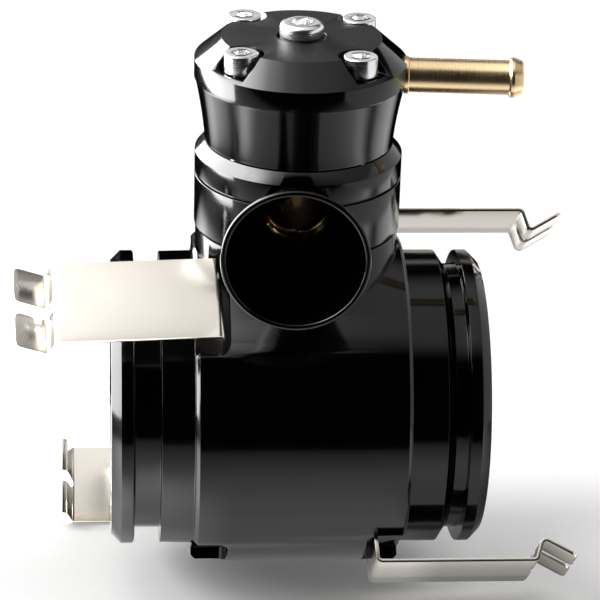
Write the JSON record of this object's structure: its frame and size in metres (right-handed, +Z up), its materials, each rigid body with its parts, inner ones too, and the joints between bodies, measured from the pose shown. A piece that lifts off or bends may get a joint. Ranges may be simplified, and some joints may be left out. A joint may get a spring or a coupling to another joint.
{
  "type": "blow off valve",
  "caption": "Spring-loaded vent valve with an outlet trumpet and hose nipple, standing on an in-line duct adaptor with spring clips.",
  "frame": {"origin": "bottom centre of the bounding box, level with the lower edge of the lowest clip", "axes": "+X along the duct towards the hose nipple's side, +Y away from the outlet trumpet, +Z up along the valve"},
  "size_m": [0.1206, 0.0816, 0.1251],
  "materials": {
    "black_anodise": "gloss black anodised",
    "trumpet_anodise": "satin black anodised",
    "grey_anodise": "mirror-bright dark anodised",
    "brass": "turned",
    "nipple_brass": "turned, bright",
    "clip_steel": "cold rolled",
    "screw_steel": "bright",
    "spring_wire": "drawn",
    "rubber": "moulded"
  },
  "bodies": {
    "valve": {"adaptor_body": "black_anodise", "valve_body": "grey_anodise", "head": "grey_anodise", "trumpet": "trumpet_anodise", "piston_spring": "spring_wire", "spring_seat": "screw_steel", "centre_screw": "screw_steel", "centre_screw_ring": "rubber", "hose_nipple": "nipple_brass", "head_screw_1": "screw_steel", "head_screw_2": "screw_steel", "head_screw_3": "screw_steel", "head_screw_4": "screw_steel", "retaining_screw_left": "screw_steel", "retaining_screw_right": "screw_steel", "clip_left_front": "clip_steel", "clip_left_rear": "clip_steel", "clip_right_front": "clip_steel", "clip_right_rear": "clip_steel", "head_ring": "rubber", "base_ring": "rubber"},
    "piston": {"piston": "brass", "piston_ring": "rubber"}
  },
  "joints": [
    {"name": "piston_lift", "type": "slide", "parent": "valve", "child": "piston", "axis": [0, 0, 1], "range_m": [0, 0.011], "stiffness_N_per_m": 1800, "springref_m": -0.006, "deforming": ["piston_spring"]}
  ]
}
